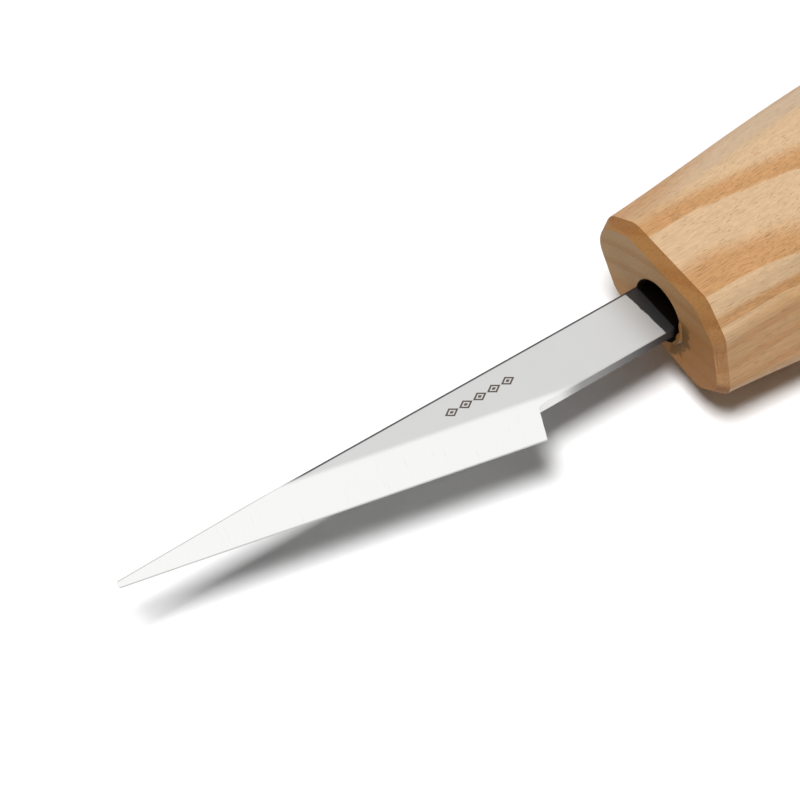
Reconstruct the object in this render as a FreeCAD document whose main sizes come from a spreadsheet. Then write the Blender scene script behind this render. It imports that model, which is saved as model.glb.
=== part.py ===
import FreeCAD, Part
import math
import os
import Sketcher

# Chip carving knife: a ground steel blade whose stick tang is bonded into a faceted wooden handle.
# The knife lies on its side on the flat of its handle. +X runs from the blade's point to the butt,
# +Y from the cutting edge to the spine, +Z up. The origin is the centre of the underside of its box.

doc = FreeCAD.newDocument("chip_carving_knife")

# ---------------------------------------------------------------- driving dimensions, millimetres

# The blade's own frame has its origin in the middle of the shank at the handle's front face.
# The handle's own frame has its origin on the handle's centre line at the same face.
DIMENSIONS = (
    # blade
    ("stock_thickness", 2.0),
    ("shank_width", 8.0),
    ("heel_reach", 22.9),
    ("heel_depth", 8.3),
    ("notch_reach", 21.2),
    ("notch_radius", 0.6),
    ("edge_angle", 11.88),
    ("bevel_width", 5.6),
    ("edge_land", 0.08),
    ("tip_radius", 0.50),
    ("edge_break", 0.2),
    ("tang_width", 7.3),
    ("tang_length", 42.0),
    ("tang_corner", 1.5),
    # where the blade sits, measured from the handle's centre line
    ("blade_offset", 0.66),
    ("blade_drop", 1.65),
    # handle
    ("board_thickness", 24.0),
    ("ridge_radius", 2.5),
    ("spine_radius", 3.6),
    ("bore_diameter", 9.0),
    ("bore_depth", 46.0),
    ("bore_drop", 0.75),
    ("drill_angle", 118.0),
    # cured resin
    ("resin_recess", 6.0),
)

# Handle stations: distance from the front face, half width, half thickness, lean of the section
# (1 where the spine side rides high and the edge side low, 0 where it is upright), and how far out
# the upper ridge on the edge side lies, as a share of the half width. The first two stations bound
# the front chamfer and the last two the butt chamfer, and the last one ends the handle.
STATIONS = (
    (0.0, 12.7, 6.65, 1.0, 0.82),
    (1.5, 13.5, 7.9, 1.0, 0.82),
    (14.0, 14.6, 9.2, 0.9, 0.76),
    (34.0, 16.4, 12.0, 0.5, 0.80),
    (57.0, 17.5, 12.6, 0.0, 0.90),
    (82.0, 16.6, 12.0, 0.0, 0.94),
    (104.0, 14.9, 10.6, 0.0, 0.94),
    (123.0, 13.3, 9.2, 0.0, 0.94),
    (125.0, 11.7, 7.6, 0.0, 0.94),
)
STATION_WORDS = ("station_reach", "half_width", "half_thickness", "lean", "edge_ridge")

# Corners of the two section shapes, anticlockwise from the upper corner on the spine side, as shares
# of the half width and of the half thickness. The third corner's width is the station's edge ridge.
LEANING_CORNERS = (
    (0.58, 1.00),
    (-0.50, 1.00),
    (-0.82, 0.53),
    (-1.00, -0.58),
    (-0.72, -1.02),
    (0.65, -0.81),
    (0.99, 0.02),
    (0.965, 0.55),
)
UPRIGHT_CORNERS = (
    (0.55, 1.00),
    (-0.55, 1.00),
    (-0.94, 0.35),
    (-1.00, -0.30),
    (-0.58, -1.00),
    (0.58, -1.00),
    (1.00, -0.30),
    (0.97, 0.35),
)
RIDGE_CORNER = 2
SPINE_CORNERS = (0, 6, 7)  # more rounded than the others, for the side of the spine

NEAR = 1e-4  # two positions closer than this are the same
POINTS_PER_EDGE = 5  # where an edge is tested

sheet = doc.addObject("Spreadsheet::Sheet", "Sizes")


def set_cell(row, name, value):
    """Writes one named plain number to the sheet."""
    sheet.set("A%d" % row, name)
    sheet.set("B%d" % row, str(value))
    sheet.setAlias("B%d" % row, name)


named_numbers = list(DIMENSIONS)
for index, station in enumerate(STATIONS):
    for word, value in zip(STATION_WORDS, station):
        named_numbers.append(("%s_%d" % (word, index), value))
for shape_name, corners in (("leaning", LEANING_CORNERS), ("upright", UPRIGHT_CORNERS)):
    for index, (across, up) in enumerate(corners):
        named_numbers.append(("%s_across_%d" % (shape_name, index), across))
        named_numbers.append(("%s_up_%d" % (shape_name, index), up))
for row, (name, value) in enumerate(named_numbers, start=1):
    set_cell(row, name, value)
doc.recompute()


def size(name):
    """The value of one named cell."""
    return float(sheet.get(name))


# ---------------------------------------------------------------- helpers


def new_body(name):
    """An empty body whose label names its node."""
    body = doc.addObject("PartDesign::Body", name)
    body.Label = name
    return body


def plane_of(body, role):
    """One of the body's own origin planes."""
    return next(item for item in body.Origin.OriginFeatures if item.Role == role)


def new_sketch(body, name, role, level=None):
    """A sketch on one of the body's origin planes, or at a level above it given by a formula."""
    sketch = body.newObject("Sketcher::SketchObject", name)
    sketch.AttachmentSupport = [(plane_of(body, role), "")]
    sketch.MapMode = "FlatFace"
    if level:
        sketch.setExpression("AttachmentOffset.Base.z", level)
    return sketch


def bind(sketch, kind, geometry, point, value, formula):
    """Ties a point's distance from the sketch's origin to a formula over the sheet."""
    place = sketch.addConstraint(Sketcher.Constraint(kind, -1, 1, geometry, point, value))
    sketch.setExpression("Constraints[%d]" % place, formula)


def draw_outline(sketch, corners):
    """A closed outline of straight lines whose corners are pairs of formulas."""
    count = len(corners)
    turns = [2 * math.pi * index / count for index in range(count)]
    points = [FreeCAD.Vector(math.cos(turn), math.sin(turn), 0) for turn in turns]
    for index in range(count):
        line = Part.LineSegment(points[index], points[(index + 1) % count])
        sketch.addGeometry(line, False)
    for index in range(count):
        joint = Sketcher.Constraint("Coincident", index, 2, (index + 1) % count, 1)
        sketch.addConstraint(joint)
    for index, (x_formula, y_formula) in enumerate(corners):
        bind(sketch, "DistanceX", index, 1, points[index].x, x_formula)
        bind(sketch, "DistanceY", index, 1, points[index].y, y_formula)


def draw_circle(sketch, height_formula, diameter_formula):
    """A circle on the sketch's upright axis."""
    circle = Part.Circle(FreeCAD.Vector(0, 0, 0), FreeCAD.Vector(0, 0, 1), 1)
    sketch.addGeometry(circle, False)
    sketch.addConstraint(Sketcher.Constraint("PointOnObject", 0, 3, -2))
    bind(sketch, "DistanceY", 0, 3, 1, height_formula)
    across = sketch.addConstraint(Sketcher.Constraint("Diameter", 0, 2))
    sketch.setExpression("Constraints[%d]" % across, diameter_formula)


def edges_where(shape, test):
    """Names of the edges whose every sampled point passes the test."""
    names = []
    for index, edge in enumerate(shape.Edges, start=1):
        if all(test(point) for point in edge.discretize(POINTS_PER_EDGE)):
            names.append("Edge%d" % index)
    return names


def near(value, target):
    """Whether two lengths are the same."""
    return abs(value - target) < NEAR


def round_off(body, name, base, edges, cell):
    """A fillet on named edges of the base feature, with the radius in one cell."""
    feature = body.newObject("PartDesign::Fillet", name)
    feature.Base = (base, edges)
    feature.setExpression("Radius", "Sizes." + cell)
    doc.recompute()
    return feature


# ---------------------------------------------------------------- blade

HALF_SHANK = "Sizes.shank_width / 2"
TANG_TOP = "(Sizes.tang_width - %s)" % HALF_SHANK  # the shoulder is on the spine side only
HALF_STOCK = "Sizes.stock_thickness / 2"
# where the spine line and the edge line would meet, and where the rounded point really ends
BLADE_HEIGHT = "(Sizes.heel_depth + %s)" % HALF_SHANK
SHARP_REACH = "(Sizes.heel_reach + %s / tan(Sizes.edge_angle * 1deg))" % BLADE_HEIGHT
BLADE_REACH = "(%s - Sizes.tip_radius * (1 / sin(Sizes.edge_angle * 0.5deg) - 1))" % SHARP_REACH
HANDLE_LENGTH = "Sizes.station_reach_%d" % (len(STATIONS) - 1)
# the handle's front face lies so that the point and the butt are equally far from the origin
FRONT_FACE = "(%s - %s) / 2" % (BLADE_REACH, HANDLE_LENGTH)
CENTRE_HEIGHT = "Sizes.board_thickness / 2"


def place(body, across="0", up="0"):
    """Puts a body, drawn from the handle's front face and centre line, into the knife's frame."""
    body.setExpression("Placement.Base.x", FRONT_FACE)
    body.setExpression("Placement.Base.y", across)
    body.setExpression("Placement.Base.z", "%s + %s" % (CENTRE_HEIGHT, up))


def cut_bevels(body):
    """The two ground bevels: one wedge cut along the edge, and its mirror image."""
    wedge = new_sketch(body, "bevel_wedge", "YZ_Plane")
    wedge.AttachmentOffset = FreeCAD.Placement(
        FreeCAD.Vector(0, 0, 0), FreeCAD.Rotation(FreeCAD.Vector(0, -1, 0), size("edge_angle"))
    )
    wedge.setExpression("AttachmentOffset.Base.x", "-Sizes.heel_depth")
    wedge.setExpression("AttachmentOffset.Base.z", "-Sizes.heel_reach")
    wedge.setExpression("AttachmentOffset.Rotation.Angle", "Sizes.edge_angle * 1deg")
    rise = "(Sizes.stock_thickness - Sizes.edge_land) / 2 / Sizes.bevel_width"
    overrun = "Sizes.stock_thickness"
    draw_outline(
        wedge,
        (
            ("-" + overrun, "Sizes.edge_land / 2 - %s * %s" % (overrun, rise)),
            ("Sizes.bevel_width", HALF_STOCK),
            ("-" + overrun, "Sizes.stock_thickness"),
        ),
    )
    bevel = body.newObject("PartDesign::Pocket", "upper_bevel")
    bevel.Profile = wedge
    bevel.SideType = "Symmetric"
    bevel.setExpression("Length", "2 * " + SHARP_REACH)  # from the heel past the point
    doc.recompute()
    mirrored = body.newObject("PartDesign::Mirrored", "lower_bevel")
    mirrored.Originals = [bevel]
    mirrored.MirrorPlane = (plane_of(body, "XY_Plane"), [""])
    body.Tip = mirrored
    doc.recompute()


def build_blade():
    """The blade, its shank and its stick tang, cut from one piece of flat stock."""
    body = new_body("blade")
    outline = new_sketch(body, "blade_outline", "XY_Plane")
    draw_outline(
        outline,
        (
            ("-" + SHARP_REACH, HALF_SHANK),
            ("-Sizes.heel_reach", "-Sizes.heel_depth"),
            ("-Sizes.notch_reach", "-" + HALF_SHANK),
            ("Sizes.tang_length - Sizes.tang_corner", "-" + HALF_SHANK),
            ("Sizes.tang_length", "Sizes.tang_corner - " + HALF_SHANK),
            ("Sizes.tang_length", TANG_TOP + " - Sizes.tang_corner"),
            ("Sizes.tang_length - Sizes.tang_corner", TANG_TOP),
            ("0", TANG_TOP),
            ("0", HALF_SHANK),
        ),
    )
    stock = body.newObject("PartDesign::Pad", "flat_stock")
    stock.Profile = outline
    stock.SideType = "Symmetric"
    stock.setExpression("Length", "Sizes.stock_thickness")
    doc.recompute()

    spine = size("shank_width") / 2
    flat = size("stock_thickness") / 2
    notch = -size("notch_reach")
    sharp = stock.Shape.BoundBox.XMin
    point_edges = edges_where(stock.Shape, lambda spot: near(spot.x, sharp))
    pointed = round_off(body, "rounded_point", stock, point_edges, "tip_radius")
    notch_edges = edges_where(pointed.Shape, lambda spot: near(spot.x, notch) and near(spot.y, -spine))
    notched = round_off(body, "notch_corner", pointed, notch_edges, "notch_radius")

    def along_shank(spot):
        """On the spine or on the shank's lower side, at one of the two flats."""
        on_side = near(spot.y, spine) or (near(spot.y, -spine) and spot.x > notch)
        return near(abs(spot.z), flat) and on_side

    long_edges = edges_where(notched.Shape, along_shank)
    round_off(body, "broken_edges", notched, long_edges, "edge_break")
    cut_bevels(body)
    place(body, "Sizes.blade_offset", "-Sizes.blade_drop")
    return body


# ---------------------------------------------------------------- handle


def section_corners(station):
    """The eight corners of the handle's section at one station, as formulas."""
    lean = "Sizes.lean_%d" % station
    corners = []
    for corner in range(len(LEANING_CORNERS)):
        shares = []
        for word in ("across", "up"):
            leaning = "Sizes.leaning_%s_%d" % (word, corner)
            upright = "Sizes.upright_%s_%d" % (word, corner)
            shares.append("(%s * %s + (1 - %s) * %s)" % (lean, leaning, lean, upright))
        if corner == RIDGE_CORNER:
            shares[0] = "-Sizes.edge_ridge_%d" % station
        across = "%s * Sizes.half_width_%d" % (shares[0], station)
        up = "%s * Sizes.half_thickness_%d" % (shares[1], station)
        corners.append((across, up))
    return corners


def draw_section(body, station):
    """The handle's section at one station: an octagon with rounded corners."""
    reach = "Sizes.station_reach_%d" % station
    section = new_sketch(body, "section_%d" % station, "YZ_Plane", reach)
    corners = section_corners(station)
    draw_outline(section, corners)
    doc.recompute()
    for corner in range(len(corners)):
        cell = "spine_radius" if corner in SPINE_CORNERS else "ridge_radius"
        section.fillet(corner, 1, size(cell), True, True)
        arc = section.GeometryCount - 2  # the arc is followed by a point that keeps the sharp corner
        rounding = section.addConstraint(Sketcher.Constraint("Radius", arc, size(cell)))
        section.setExpression("Constraints[%d]" % rounding, "Sizes." + cell)
    return section


def loft_through(body, name, sections, ruled):
    """Adds a solid through the sections, in order."""
    loft = body.newObject("PartDesign::AdditiveLoft", name)
    loft.Profile = sections[0]
    loft.Sections = sections[1:]
    loft.Ruled = ruled
    doc.recompute()


def cut_board_flats(body):
    """Takes the belly down to the faces of the board, above and below."""
    board = new_sketch(body, "outside_board", "XZ_Plane")
    over = "Sizes.board_thickness"
    draw_outline(
        board,
        (
            ("0", "Sizes.board_thickness / 2"),
            (HANDLE_LENGTH, "Sizes.board_thickness / 2"),
            (HANDLE_LENGTH, over),
            ("0", over),
        ),
    )
    upper = body.newObject("PartDesign::Pocket", "upper_flat")
    upper.Profile = board
    upper.SideType = "Symmetric"
    upper.setExpression("Length", "2 * Sizes.board_thickness")  # wider than the belly
    doc.recompute()
    lower = body.newObject("PartDesign::Mirrored", "lower_flat")
    lower.Originals = [upper]
    lower.MirrorPlane = (plane_of(body, "XY_Plane"), [""])
    body.Tip = lower
    doc.recompute()


def bore_handle(body):
    """The drilled bore for the tang, from the front face, with the drill's cone at its end."""
    mouth = new_sketch(body, "bore_mouth", "YZ_Plane")
    draw_circle(mouth, "-Sizes.bore_drop", "Sizes.bore_diameter")
    doc.recompute()
    bore = body.newObject("PartDesign::Hole", "tang_bore")
    bore.Profile = mouth
    bore.Reversed = True
    bore.DepthType = "Dimension"
    bore.DrillPoint = "Angled"
    bore.setExpression("DrillPointAngle", "Sizes.drill_angle")
    bore.setExpression("Diameter", "Sizes.bore_diameter")
    bore.setExpression("Depth", "Sizes.bore_depth")
    doc.recompute()


def build_handle():
    """The wooden handle: a faceted belly, flat where the board's faces are left, and bored."""
    body = new_body("handle")
    sections = [draw_section(body, station) for station in range(len(STATIONS))]
    loft_through(body, "faceted_belly", sections[1:-1], False)
    loft_through(body, "front_chamfer", sections[:2], True)
    loft_through(body, "butt_chamfer", sections[-2:], True)
    cut_board_flats(body)
    bore_handle(body)
    place(body)
    return body


# ---------------------------------------------------------------- resin


def build_resin():
    """The cured resin that fills the back of the bore around the tang."""
    body = new_body("epoxy_bond")
    surface = new_sketch(body, "resin_surface", "YZ_Plane", "Sizes.resin_recess")
    draw_circle(surface, "-Sizes.bore_drop", "Sizes.bore_diameter")
    plug = body.newObject("PartDesign::Pad", "resin_plug")
    plug.Profile = surface
    plug.setExpression("Length", "Sizes.bore_depth - Sizes.resin_recess")
    doc.recompute()
    slot = new_sketch(body, "tang_slot", "YZ_Plane")
    left = "Sizes.blade_offset - " + HALF_SHANK
    right = "Sizes.blade_offset + " + TANG_TOP
    low = "-Sizes.blade_drop - " + HALF_STOCK
    high = "-Sizes.blade_drop + " + HALF_STOCK
    draw_outline(slot, ((left, low), (right, low), (right, high), (left, high)))
    cast = body.newObject("PartDesign::Pocket", "tang_cast")
    cast.Profile = slot
    cast.Reversed = True
    cast.setExpression("Length", "Sizes.tang_length")
    doc.recompute()
    place(body)
    return body


# ---------------------------------------------------------------- build, check and write

bodies = [build_blade(), build_handle(), build_resin()]
doc.recompute()

for item in doc.Objects:
    if "Invalid" in item.State or "Error" in item.State:
        raise RuntimeError("%s failed: %s" % (item.Name, item.State))
for body in bodies:
    shape = body.Shape
    if shape.isNull() or not shape.isValid() or len(shape.Solids) != 1:
        raise RuntimeError("%s is not one sound solid" % body.Label)

os.makedirs("parts", exist_ok=True)
for body in bodies:
    body.Shape.exportStep("parts/%s.step" % body.Label)
    box = body.Shape.BoundBox
    print(body.Label, "volume %.1f mm3" % body.Shape.Volume, "faces %d" % len(body.Shape.Faces), box)
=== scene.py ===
import math

import bmesh
import bpy
from mathutils import Matrix, Vector, noise


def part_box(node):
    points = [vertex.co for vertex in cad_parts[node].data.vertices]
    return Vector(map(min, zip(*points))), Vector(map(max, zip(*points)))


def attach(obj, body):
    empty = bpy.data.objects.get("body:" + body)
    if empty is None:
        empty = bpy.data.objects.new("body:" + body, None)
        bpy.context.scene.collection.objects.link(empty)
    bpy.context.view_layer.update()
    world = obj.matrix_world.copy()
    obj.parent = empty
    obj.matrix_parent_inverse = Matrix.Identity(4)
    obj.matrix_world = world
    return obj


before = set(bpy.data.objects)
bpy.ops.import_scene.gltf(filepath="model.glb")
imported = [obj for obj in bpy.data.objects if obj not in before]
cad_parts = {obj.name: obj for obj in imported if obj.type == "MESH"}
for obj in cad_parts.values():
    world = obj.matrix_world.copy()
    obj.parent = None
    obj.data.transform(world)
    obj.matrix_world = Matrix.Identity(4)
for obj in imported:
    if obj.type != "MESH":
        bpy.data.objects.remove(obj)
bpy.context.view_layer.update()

MM = 0.001  # one millimetre, in the frame's metres

# ---------------------------------------------------------------- places, from the frame

blade_low, blade_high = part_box("blade")
handle_low, handle_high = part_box("handle")
resin_low, resin_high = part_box("epoxy_bond")

FACE_X = handle_low.x  # the handle's front face
SPINE_Y = blade_high.y
FLAT_Z = blade_high.z  # the blade's upper flat
BLADE_MIDDLE_Z = (blade_low.z + blade_high.z) / 2
HANDLE_MIDDLE_Z = (handle_low.z + handle_high.z) / 2
BORE_Y = (resin_low.y + resin_high.y) / 2
BORE_Z = (resin_low.z + resin_high.z) / 2
BORE_RADIUS = (resin_high.z - resin_low.z) / 2
SHANK_WIDTH = 8.0 * MM
EDGE_ANGLE = math.radians(11.88)  # between the cutting edge and the spine
BEVEL_WIDTH = 5.6 * MM
TIP_RADIUS = 0.5 * MM
# where the spine's line and the edge's line would meet, past the rounded point
SHARP_X = blade_low.x - TIP_RADIUS * (1 / math.sin(EDGE_ANGLE / 2) - 1)
HEEL_X = SHARP_X + (SPINE_Y - blade_low.y) / math.tan(EDGE_ANGLE)

# ---------------------------------------------------------------- node helpers


class Nodes:
    """A material's node tree while it is built. Each method adds a node and returns its output."""

    def __init__(self, name):
        self.material = bpy.data.materials.new(name)
        self.material.use_nodes = True
        self.tree = self.material.node_tree
        self.tree.nodes.clear()

    def add(self, kind, output=0, settings=(), **inputs):
        """A node with settings and with inputs given by name, spaces written as underscores."""
        node = self.tree.nodes.new("ShaderNode" + kind)
        for key, value in dict(settings).items():
            setattr(node, key, value)
        for key, value in inputs.items():
            self.feed(node.inputs[key.replace("_", " ")], value)
        return node.outputs[output]

    def feed(self, socket, value):
        """Links an output to the socket, or sets the socket to a plain value."""
        if isinstance(value, bpy.types.NodeSocket):
            self.tree.links.new(value, socket)
        else:
            socket.default_value = value

    def maths(self, operation, *values, clamp=False):
        """One step of arithmetic."""
        node = self.tree.nodes.new("ShaderNodeMath")
        node.operation = operation
        node.use_clamp = clamp
        for socket, value in zip(node.inputs, values):
            self.feed(socket, value)
        return node.outputs[0]

    def total(self, *values):
        """The sum of several values."""
        result = values[0]
        for value in values[1:]:
            result = self.maths("ADD", result, value)
        return result

    def step(self, value, start, end):
        """0 up to start, 1 from end on, smooth between; falls instead where end is the lower."""
        node = self.tree.nodes.new("ShaderNodeMapRange")
        node.interpolation_type = "SMOOTHSTEP"
        low, high = min(start, end), max(start, end)
        for key, number in (("Value", value), ("From Min", low), ("From Max", high)):
            self.feed(node.inputs[key], number)
        self.feed(node.inputs["To Min"], 0.0 if start < end else 1.0)
        self.feed(node.inputs["To Max"], 1.0 if start < end else 0.0)
        return node.outputs[0]

    def mix(self, share, first, second, blend="MIX"):
        """A mix of two colours, by share of the second."""
        node = self.tree.nodes.new("ShaderNodeMix")
        node.data_type = "RGBA"
        node.blend_type = blend
        self.feed(node.inputs[0], share)
        for socket, colour in ((node.inputs[6], first), (node.inputs[7], second)):
            self.feed(socket, colour if isinstance(colour, bpy.types.NodeSocket) else (*colour, 1))
        return node.outputs[2]

    def between(self, share, low, high):
        """A number that goes from low to high with the share."""
        return self.maths("MULTIPLY_ADD", share, high - low, low)

    def noise(self, vector, scale, detail=2.0, roughness=0.5):
        """Noise from 0 to 1 about 0.5."""
        return self.add("TexNoise", Vector=vector, Scale=scale, Detail=detail, Roughness=roughness)

    def axes(self, vector):
        """A vector's three parts."""
        node = self.tree.nodes.new("ShaderNodeSeparateXYZ")
        self.feed(node.inputs[0], vector)
        return node.outputs

    def place(self, origin):
        """The surface point in millimetres from an origin, as a vector."""
        spot = self.add("TexCoord", output="Object")
        moved = self.add("VectorMath", settings={"operation": "SUBTRACT"})
        node = moved.node
        self.feed(node.inputs[0], spot)
        self.feed(node.inputs[1], tuple(origin))
        return self.stretch(moved, (1 / MM, 1 / MM, 1 / MM))

    def stretch(self, vector, factors):
        """The vector with each part multiplied by its own factor."""
        node = self.tree.nodes.new("ShaderNodeVectorMath")
        node.operation = "MULTIPLY"
        self.feed(node.inputs[0], vector)
        self.feed(node.inputs[1], factors)
        return node.outputs[0]

    def facing(self):
        """The parts of the flat face's own direction."""
        return self.axes(self.add("NewGeometry", output="True Normal"))

    def bump(self, height, strength, distance):
        """A surface direction disturbed by a height."""
        return self.add("Bump", Height=height, Strength=strength, Distance=distance)

    def finish(self, **inputs):
        """Ends the tree with one Principled shader."""
        shader = self.add("BsdfPrincipled", **inputs)
        output = self.tree.nodes.new("ShaderNodeOutputMaterial")
        self.tree.links.new(shader, output.inputs["Surface"])
        return self.material


# ---------------------------------------------------------------- steel

STEEL = (0.58, 0.58, 0.575)
# the bevel's steel: lighter than the flats partly for its ground finish, partly as a painted reflection of
# the bright light overhead
BEVEL_STEEL_AND_SHEEN = (0.77, 0.77, 0.76)
OXIDE_AND_SHADE_GREY = (0.078, 0.074, 0.076)  # what is left of the oxide beside the handle; also the painted dark reflection along the spine and painted shade on the sides near the handle
CUT_GREY = (0.30, 0.30, 0.295)  # the sides, as the laser left them
MARK_GREY = (0.075, 0.058, 0.048)
BORE_SHADE_BLACK = (0.020, 0.014, 0.009)  # painted shade: near black on the bore's wall and on the steel within the handle, where shade falls

MARK_CENTRE_X = FACE_X - 26.4 * MM
MARK_CENTRE_Y = SPINE_Y - 2.8 * MM
MARK_HALF_LENGTH = 5.3
LOZENGE_PITCH = 2.12
LOZENGE_HALF_HEIGHT = 0.72


def lozenge_row(nodes):
    """The mask of the mark: a plain row of hollow lozenges, as in a chip-carved border."""
    across, up, out = nodes.axes(nodes.place((MARK_CENTRE_X, MARK_CENTRE_Y, FLAT_Z)))
    from_end = nodes.total(across, MARK_HALF_LENGTH)
    turns = nodes.maths("FRACT", nodes.maths("DIVIDE", from_end, LOZENGE_PITCH))
    sideways = nodes.maths("ABSOLUTE", nodes.maths("SUBTRACT", turns, 0.5))
    sideways = nodes.maths("MULTIPLY", sideways, 2.0)
    upward = nodes.maths("DIVIDE", nodes.maths("ABSOLUTE", up), LOZENGE_HALF_HEIGHT)
    reach = nodes.total(sideways, upward)
    outline = nodes.maths("MULTIPLY", nodes.step(reach, 1.0, 0.94), nodes.step(reach, 0.56, 0.62))
    heart = nodes.step(reach, 0.36, 0.28)
    within = nodes.step(nodes.maths("ABSOLUTE", across), MARK_HALF_LENGTH, MARK_HALF_LENGTH - 0.02)
    above = nodes.step(out, -0.1, -0.02)
    shape = nodes.maths("MAXIMUM", outline, heart)
    return nodes.maths("MULTIPLY", nodes.maths("MULTIPLY", shape, within), above)


def blade_steel():
    """Satin flats, cross-ground bevels, dark laser-cut sides and an unpolished band by the handle, with
    painted shade near and within the handle and painted dark lines along spine and edge.
    """
    nodes = Nodes("blade_steel")
    spot = nodes.place((HEEL_X, blade_low.y, BLADE_MIDDLE_Z))
    along, across, _ = nodes.axes(spot)
    # millimetres from the cutting edge's line, and along it
    inward = nodes.total(
        nodes.maths("MULTIPLY", along, math.sin(EDGE_ANGLE)),
        nodes.maths("MULTIPLY", across, math.cos(EDGE_ANGLE)),
    )
    lengthwise = nodes.maths(
        "SUBTRACT",
        nodes.maths("MULTIPLY", along, math.cos(EDGE_ANGLE)),
        nodes.maths("MULTIPLY", across, math.sin(EDGE_ANGLE)),
    )
    _, _, facing_z = nodes.facing()
    flatness = nodes.maths("ABSOLUTE", facing_z)
    width = BEVEL_WIDTH / MM
    bevel = nodes.step(inward, width + 0.45, width - 0.45)
    side = nodes.step(flatness, 0.35, 0.15)
    from_spine = nodes.maths("SUBTRACT", SPINE_Y / MM - blade_low.y / MM, across)
    beyond_bevel = nodes.step(inward, width - 0.2, width + 0.6)
    # painted reflection: the dark line along the spine's rounded edge
    spine_dark_reflection = nodes.maths("MULTIPLY", nodes.step(from_spine, 0.40, 0.28), beyond_bevel)
    # the honed strips by the edge and the spine: grey partly as honed steel, partly as painted shade that
    # draws the outline
    honed_strip_and_outline_shade = nodes.maths("MAXIMUM", nodes.step(inward, 0.20, 0.08), nodes.step(from_spine, 0.20, 0.08))

    # grinding lines run across the bevel; the flats are brushed very finely along the blade
    combine = nodes.tree.nodes.new("ShaderNodeCombineXYZ")
    nodes.feed(combine.inputs[0], lengthwise)
    nodes.feed(combine.inputs[1], inward)
    ground = nodes.stretch(combine.outputs[0], (1.0, 0.045, 1.0))
    coarse_lines = nodes.noise(ground, 5.0, 4.0, 0.7)
    fine_lines = nodes.noise(ground, 22.0, 3.0, 0.6)
    patches = nodes.noise(nodes.stretch(combine.outputs[0], (0.35, 0.22, 1.0)), 1.0, 2.0, 0.5)
    lines = nodes.maths("MULTIPLY_ADD", coarse_lines, 0.6, nodes.maths("MULTIPLY", fine_lines, 0.4))
    brushed = nodes.noise(nodes.stretch(spot, (0.12, 9.0, 9.0)), 1.0, 4.0, 0.6)
    cloud = nodes.noise(spot, 0.25, 3.0, 0.6)

    in_patches = nodes.step(patches, 0.42, 0.62)
    deep_lines = nodes.maths("MULTIPLY", nodes.step(coarse_lines, 0.42, 0.27), in_patches)
    flat_colour = nodes.mix(nodes.between(cloud, 0.0, 0.25), STEEL, (0.50, 0.495, 0.49))
    flat_colour = nodes.mix(nodes.step(brushed, 0.35, 0.1), flat_colour, (0.46, 0.46, 0.45))
    bevel_colour = nodes.mix(nodes.maths("MULTIPLY", deep_lines, 0.5), BEVEL_STEEL_AND_SHEEN, (0.52, 0.51, 0.50))
    colour = nodes.mix(bevel, flat_colour, bevel_colour)

    # the oxide band: its border slants from the spine to the shank's lower side
    back = nodes.place((FACE_X, SPINE_Y - SHANK_WIDTH / 2, FLAT_Z))
    back_x, back_y, _ = nodes.axes(back)
    wander = nodes.maths("MULTIPLY_ADD", nodes.noise(back, 0.9, 3.0, 0.6), 0.5, -0.25)
    border = nodes.total(nodes.maths("MULTIPLY_ADD", back_y, 0.07, 1.62), back_x, wander)
    oxide = nodes.step(border, -0.08, 0.10)
    # painted shade: the flats darken toward the handle
    flat_shade_by_handle = nodes.step(nodes.maths("MULTIPLY", back_x, -1.0), 7.0, 1.0)
    colour = nodes.mix(nodes.maths("MULTIPLY", flat_shade_by_handle, 0.20), colour, (0.46, 0.44, 0.43))
    # painted shade: the cut sides turn from grey to near black within 16 mm of the handle, where they
    # mirror the shaded floor
    cut = nodes.mix(nodes.step(nodes.maths("MULTIPLY", back_x, -1.0), 16.0, 1.0), CUT_GREY, OXIDE_AND_SHADE_GREY)
    # the honed strips greyed, partly painted shade
    colour = nodes.mix(nodes.maths("MULTIPLY", honed_strip_and_outline_shade, 0.6), colour, CUT_GREY)
    colour = nodes.mix(nodes.maths("MULTIPLY", side, nodes.maths("SUBTRACT", 1.0, bevel)), colour, cut)
    # painted reflection: the spine's rounded edge painted dark
    colour = nodes.mix(spine_dark_reflection, colour, OXIDE_AND_SHADE_GREY)
    colour = nodes.mix(nodes.maths("MULTIPLY", oxide, 0.93), colour, OXIDE_AND_SHADE_GREY)
    # painted shade: the steel within the handle is painted near black
    colour = nodes.mix(nodes.step(back_x, -0.1, 0.15), colour, BORE_SHADE_BLACK)
    mark = lozenge_row(nodes)
    colour = nodes.mix(mark, colour, MARK_GREY)

    shine = nodes.between(cloud, 0.34, 0.40)
    shine = nodes.maths("MULTIPLY_ADD", nodes.maths("MAXIMUM", oxide, side), 0.18, shine)
    shine = nodes.maths("MULTIPLY_ADD", mark, 0.2, shine)
    metal = nodes.between(nodes.maths("MAXIMUM", oxide, side), 0.55, 1.0)
    metal = nodes.maths("MULTIPLY", metal, nodes.between(mark, 1.0, 0.2))
    height = nodes.maths("MULTIPLY", lines, bevel)
    height = nodes.maths("MULTIPLY_ADD", brushed, 0.04, height)
    surface = nodes.bump(height, 0.15, 0.05 * MM)
    return nodes.finish(Base_Color=colour, Metallic=metal, Roughness=shine, Normal=surface)


# ---------------------------------------------------------------- wood

PALE_ASH = (0.495, 0.340, 0.202)
DARK_ASH = (0.423, 0.228, 0.098)
PORE_BROWN = (0.26, 0.135, 0.06)
AMBER = (0.13, 0.055, 0.007)
STAIN = (0.075, 0.035, 0.006)
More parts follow.
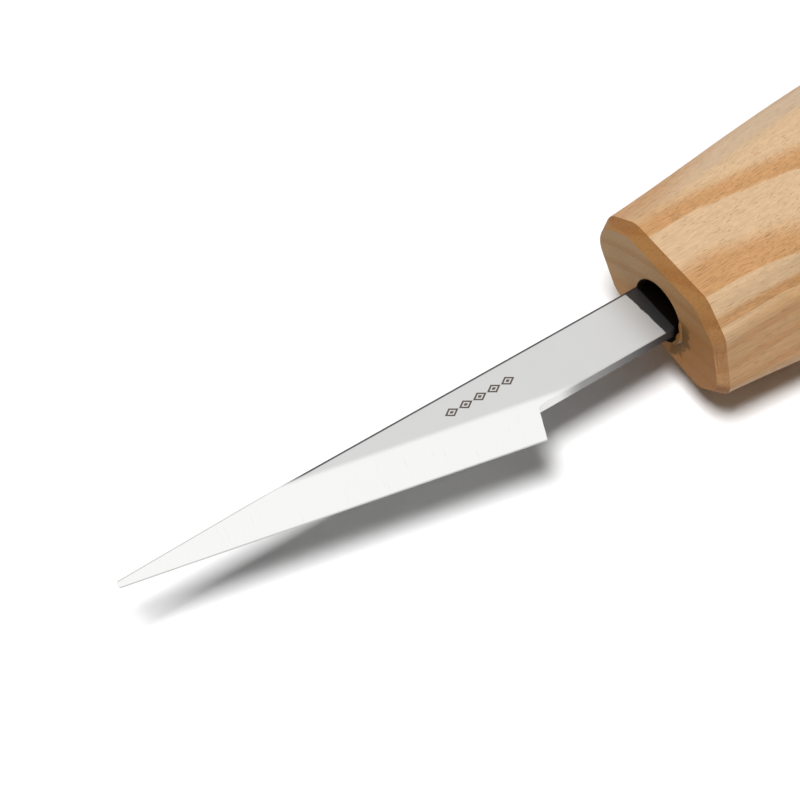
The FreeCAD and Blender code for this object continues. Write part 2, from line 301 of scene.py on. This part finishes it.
# these multiply the wood's colour; the low-side tint is painted shade, the chamfer and face tints are
# partly oiled end grain and partly painted shade
LOW_SIDE_SHADE_TINT = (0.99, 0.825, 0.61)
CHAMFER_OIL_AND_SHADE_TINT = (0.49, 0.345, 0.19)
FACE_SHADE_TINT_SPINE = (0.62, 0.56, 0.45)  # painted shade on the front face, on the spine's side and on the edge's
FACE_SHADE_TINT_EDGE = (0.52, 0.40, 0.24)

# the tree's centre, from the handle's own centre line at its front face, in millimetres
PITH_Y = -13.5
PITH_Z = -38.9
RING_WIDTH = 3.05
RING_START = 50.15  # from the pith to the ring that starts beside the spine
RING_TAPER = -0.065  # how much the rings close in along the handle


def ash_wood():
    """Flat-sawn ash: sharp-edged porous rings that fade outward, long fibres, pores, end grain, and painted
    shade on the face, chamfer, lower edge side and bore.
    """
    nodes = Nodes("ash_wood")
    centre = Vector((FACE_X, 0, HANDLE_MIDDLE_Z))
    spot = nodes.place(centre)
    along, across, up = nodes.axes(spot)
    slow = nodes.noise(nodes.stretch(spot, (0.022, 0.07, 0.07)), 1.0, 2.0, 0.5)
    ragged = nodes.noise(nodes.stretch(spot, (0.12, 1.3, 1.3)), 1.0, 3.0, 0.6)
    from_y = nodes.maths("SUBTRACT", across, PITH_Y)
    from_z = nodes.maths("SUBTRACT", up, PITH_Z)
    squares = nodes.total(nodes.maths("MULTIPLY", from_y, from_y), nodes.maths("MULTIPLY", from_z, from_z))
    radius = nodes.total(
        nodes.maths("SQRT", squares),
        nodes.maths("MULTIPLY", along, RING_TAPER),
        nodes.maths("MULTIPLY_ADD", slow, 0.8, -0.4),
        nodes.maths("MULTIPLY_ADD", ragged, 0.4, -0.2),
    )
    rings = nodes.maths("DIVIDE", nodes.maths("SUBTRACT", radius, RING_START), RING_WIDTH)
    age = nodes.maths("FRACT", rings)  # 0 where a ring starts, 1 where it ends
    early = nodes.maths("MULTIPLY", nodes.step(age, 0.0, 0.05), nodes.step(age, 0.50, 0.22))
    facing_x, _, _ = nodes.facing()
    end_grain = nodes.step(nodes.maths("ABSOLUTE", facing_x), 0.20, 0.60)
    # the rings are clear in a belt between the heart and the board's outer side
    clear = nodes.maths("MULTIPLY", nodes.step(radius, 42.5, 45.0), nodes.step(radius, 53.0, 51.5))
    # painted shade: a mask for the lower part on the edge's side, darkened and browned
    heart = nodes.step(nodes.maths("MULTIPLY_ADD", along, -0.12, radius), 44.5, 40.5)
    early = nodes.maths("MULTIPLY", early, nodes.between(end_grain, 1.0, 0.45))
    early = nodes.maths("MULTIPLY", early, nodes.between(clear, 0.45, 1.0))

    fibres = nodes.noise(nodes.stretch(spot, (0.16, 7.0, 7.0)), 1.0, 4.0, 0.65)
    strands = nodes.noise(nodes.stretch(spot, (0.03, 1.1, 1.1)), 1.0, 3.0, 0.6)
    grains = nodes.noise(nodes.stretch(spot, (0.42, 8.5, 8.5)), 1.0, 1.0, 0.5)
    pores = nodes.maths("SUBTRACT", grains, nodes.between(early, 0.67, 0.60))
    pores = nodes.step(pores, 0.0, 0.05)

    colour = nodes.mix(early, PALE_ASH, DARK_ASH)
    tint = nodes.maths("MULTIPLY_ADD", strands, 0.9, -0.2, clamp=True)
    colour = nodes.mix(nodes.maths("MULTIPLY", tint, 0.22), colour, (0.50, 0.31, 0.165))
    streaks = nodes.noise(nodes.stretch(spot, (0.30, 3.2, 3.2)), 1.0, 2.0, 0.6)
    shade = nodes.total(nodes.maths("MULTIPLY", fibres, 0.60), nodes.maths("MULTIPLY", streaks, 0.40), 0.50)
    grey = nodes.add("CombineColor", Red=shade, Green=shade, Blue=shade)
    colour = nodes.mix(1.0, colour, grey, "MULTIPLY")
    colour = nodes.mix(nodes.maths("MULTIPLY", pores, 0.7), colour, PORE_BROWN)

    # painted shade: browner and darker toward the lower part on the edge's side; end grain darker, partly
    # from oil it took up and partly as painted shade growing toward the edge's side
    colour = nodes.mix(heart, colour, nodes.mix(1.0, colour, LOW_SIDE_SHADE_TINT, "MULTIPLY"))
    face = nodes.step(nodes.maths("ABSOLUTE", facing_x), 0.80, 0.95)
    face_shade_gradient = nodes.mix(nodes.step(across, 9.0, -9.0), FACE_SHADE_TINT_SPINE, FACE_SHADE_TINT_EDGE)
    oil_and_shade_tint = nodes.mix(face, CHAMFER_OIL_AND_SHADE_TINT, face_shade_gradient)
    colour = nodes.mix(end_grain, colour, nodes.mix(1.0, colour, oil_and_shade_tint, "MULTIPLY"))

    # resin ran a little over the bore's lower lip; the bore's wall is painted near black as painted shade
    bore = nodes.place((FACE_X, BORE_Y, BORE_Z))
    depth, bore_y, bore_z = nodes.axes(bore)
    from_bore = nodes.maths(
        "SQRT",
        nodes.total(nodes.maths("MULTIPLY", bore_y, bore_y), nodes.maths("MULTIPLY", bore_z, bore_z)),
    )
    ragged_rim = nodes.maths("MULTIPLY_ADD", nodes.noise(bore, 0.8, 3.0, 0.6), 3.0, 0.4)
    bore_radius = BORE_RADIUS / MM
    from_rim = nodes.maths("SUBTRACT", from_bore, ragged_rim)
    stain = nodes.step(from_rim, bore_radius + 0.1, bore_radius - 0.5)
    stain = nodes.maths("MULTIPLY", stain, nodes.step(bore_y, -2.6, -3.6))
    low_on_face = nodes.maths("MULTIPLY", nodes.step(bore_z, 3.2, 1.6), nodes.step(depth, 0.5, 0.1))
    stain = nodes.maths("MULTIPLY", stain, low_on_face)
    colour = nodes.mix(nodes.maths("MULTIPLY", stain, 0.85), colour, STAIN)
    # painted shade: the bore's wall is painted near black
    inside = nodes.step(from_bore, bore_radius + 0.12, bore_radius - 0.02)
    inside = nodes.maths("MULTIPLY", inside, nodes.step(depth, 60.0, 50.0))
    colour = nodes.mix(nodes.maths("MULTIPLY", inside, 0.97), colour, BORE_SHADE_BLACK)

    gloss = nodes.between(early, 0.42, 0.50)
    gloss = nodes.maths("MULTIPLY_ADD", end_grain, 0.25, gloss)
    gloss = nodes.maths("MULTIPLY_ADD", pores, 0.15, gloss)
    height = nodes.maths("MULTIPLY_ADD", fibres, 0.4, nodes.maths("MULTIPLY", pores, -1.0))
    surface = nodes.bump(height, 0.5, 0.06 * MM)
    return nodes.finish(Base_Color=colour, Roughness=gloss, Normal=surface, Specular_IOR_Level=0.35)


# ---------------------------------------------------------------- resin


def cured_epoxy():
    """Amber resin with a little dust and a few bubbles in it."""
    nodes = Nodes("cured_epoxy")
    spot = nodes.place((FACE_X, BORE_Y, BORE_Z))
    cloud = nodes.noise(spot, 0.8, 3.0, 0.6)
    bubbles = nodes.step(nodes.noise(spot, 6.0, 0.0), 0.72, 0.78)
    colour = nodes.mix(cloud, AMBER, (0.20, 0.090, 0.014))
    colour = nodes.mix(nodes.maths("MULTIPLY", bubbles, 0.5), colour, (0.32, 0.19, 0.06))
    surface = nodes.bump(nodes.total(cloud, bubbles), 0.3, 0.1 * MM)
    return nodes.finish(
        Base_Color=colour,
        Roughness=nodes.between(cloud, 0.30, 0.45),
        Normal=surface,
        Specular_IOR_Level=0.3,
        Coat_Weight=0.1,
    )


BEAD_START = math.radians(152)
BEAD_END = math.radians(222)
BEAD_RADIUS = 0.55 * MM
BEAD_STEPS = 36
BEAD_SIDES = 12


def build_bead(material):
    """The bead of resin that ran out over the bore's lip, on the edge's side."""
    mesh = bmesh.new()
    rings = []
    for step in range(BEAD_STEPS + 1):
        share = step / BEAD_STEPS
        turn = BEAD_START + (BEAD_END - BEAD_START) * share
        swell = 0.80 + 0.65 * noise.noise((share * 4.0, 0.7, 0.2))
        thick = BEAD_RADIUS * swell * math.sin(math.pi * share) ** 0.5 + 0.02 * MM
        outward = Vector((0, math.cos(turn), math.sin(turn)))
        middle = Vector((FACE_X, BORE_Y, BORE_Z)) + outward * (BORE_RADIUS + 0.1 * MM)
        ring = []
        for side in range(BEAD_SIDES):
            angle = 2 * math.pi * side / BEAD_SIDES
            lengthwise = Vector((math.sin(angle) * thick * 0.6, 0, 0))
            ring.append(mesh.verts.new(middle + outward * (math.cos(angle) * thick) + lengthwise))
        rings.append(ring)
    for first, second in zip(rings, rings[1:]):
        for side in range(BEAD_SIDES):
            after = (side + 1) % BEAD_SIDES
            mesh.faces.new((first[side], first[after], second[after], second[side]))
    mesh.faces.new(reversed(rings[0]))
    mesh.faces.new(rings[-1])
    bmesh.ops.recalc_face_normals(mesh, faces=mesh.faces)
    data = bpy.data.meshes.new("resin_bead")
    mesh.to_mesh(data)
    mesh.free()
    data.materials.append(material)
    data.shade_smooth()
    bead = bpy.data.objects.new("resin_bead", data)
    bpy.context.scene.collection.objects.link(bead)
    smooth = bead.modifiers.new("smooth", "SUBSURF")
    smooth.levels = 1
    smooth.render_levels = 1
    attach(bead, "root")


def give(name, material):
    """Puts one material on a CAD node in place of its plain one."""
    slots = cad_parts[name].material_slots
    for slot in slots:
        slot.material = material


give("blade", blade_steel())
give("handle", ash_wood())
resin_material = cured_epoxy()
give("epoxy_bond", resin_material)
build_bead(resin_material)

# ---------------------------------------------------------------- floor, light and camera


def studio_paper():
    """White studio paper with a faint tooth."""
    nodes = Nodes("studio_paper")
    tooth = nodes.noise(nodes.place((0, 0, 0)), 2.0, 3.0, 0.6)
    return nodes.finish(
        Base_Color=(0.80, 0.80, 0.80, 1),
        Roughness=0.9,
        Specular_IOR_Level=0.1,
        Normal=nodes.bump(tooth, 0.05, 0.02 * MM),
    )


FLOOR_HALF = 3.0
mesh = bpy.data.meshes.new("floor")
corners = ((-1, -1), (1, -1), (1, 1), (-1, 1))
mesh.from_pydata([(x * FLOOR_HALF, y * FLOOR_HALF, 0) for x, y in corners], [], [(0, 1, 2, 3)])
mesh.materials.append(studio_paper())
floor = bpy.data.objects.new("floor", mesh)
bpy.context.scene.collection.objects.link(floor)


def area_light(name, place, side, watts):
    """A square soft light at a place, looking at the knife."""
    data = bpy.data.lights.new(name, "AREA")
    data.shape = "SQUARE"
    data.size = side
    data.energy = watts
    lamp = bpy.data.objects.new(name, data)
    bpy.context.scene.collection.objects.link(lamp)
    toward = Vector(place).normalized()
    lamp.location = place
    lamp.rotation_mode = "QUATERNION"
    lamp.rotation_quaternion = toward.to_track_quat("Z", "Y")
    return lamp


# places and sides in metres, power in watts
KEY_PLACE = (-0.215, -0.035, 0.684)
KEY_SIDE = 0.25
KEY_POWER = 6.7
FILL_PLACE = (0, 0, 1.1)
FILL_SIDE = 2.2
FILL_POWER = 3.4

key = area_light("key", KEY_PLACE, KEY_SIDE, KEY_POWER)
key.visible_glossy = False
fill = area_light("fill", FILL_PLACE, FILL_SIDE, FILL_POWER)
fill.visible_glossy = False

world = bpy.data.worlds.new("studio")
world.use_nodes = True
world.node_tree.nodes["Background"].inputs["Color"].default_value = (1, 1, 1, 1)
world.node_tree.nodes["Background"].inputs["Strength"].default_value = 1.0
world.cycles_visibility.diffuse = False
bpy.context.scene.world = world
bpy.context.scene.view_settings.view_transform = "Standard"

# The camera looks down on the blade from behind the point, on the edge's side.
CAMERA_TURN = math.radians(-34.385)
CAMERA_ELEVATION = math.radians(54.973)
CAMERA_ROLL = math.radians(0.095)
CAMERA_OFFSET = Vector((-134.92, -139.92, 253.80)) * MM  # from where the shank meets the handle
LENS = 112.5
SENSOR = 36.0

back = Vector(
    (
        math.sin(CAMERA_TURN) * math.cos(CAMERA_ELEVATION),
        -math.cos(CAMERA_TURN) * math.cos(CAMERA_ELEVATION),
        math.sin(CAMERA_ELEVATION),
    )
)
right = Vector((math.cos(CAMERA_TURN), math.sin(CAMERA_TURN), 0))
turned = Matrix((right, back.cross(right), back)).transposed() @ Matrix.Rotation(CAMERA_ROLL, 3, "Z")
camera_data = bpy.data.cameras.new("camera")
camera_data.lens = LENS
camera_data.sensor_width = SENSOR
camera_data.clip_start = 0.01
camera = bpy.data.objects.new("camera", camera_data)
bpy.context.scene.collection.objects.link(camera)
shank_end = Vector((FACE_X, SPINE_Y - SHANK_WIDTH / 2, BLADE_MIDDLE_Z))
camera.matrix_world = Matrix.Translation(shank_end + CAMERA_OFFSET) @ turned.to_4x4()
bpy.context.scene.camera = camera
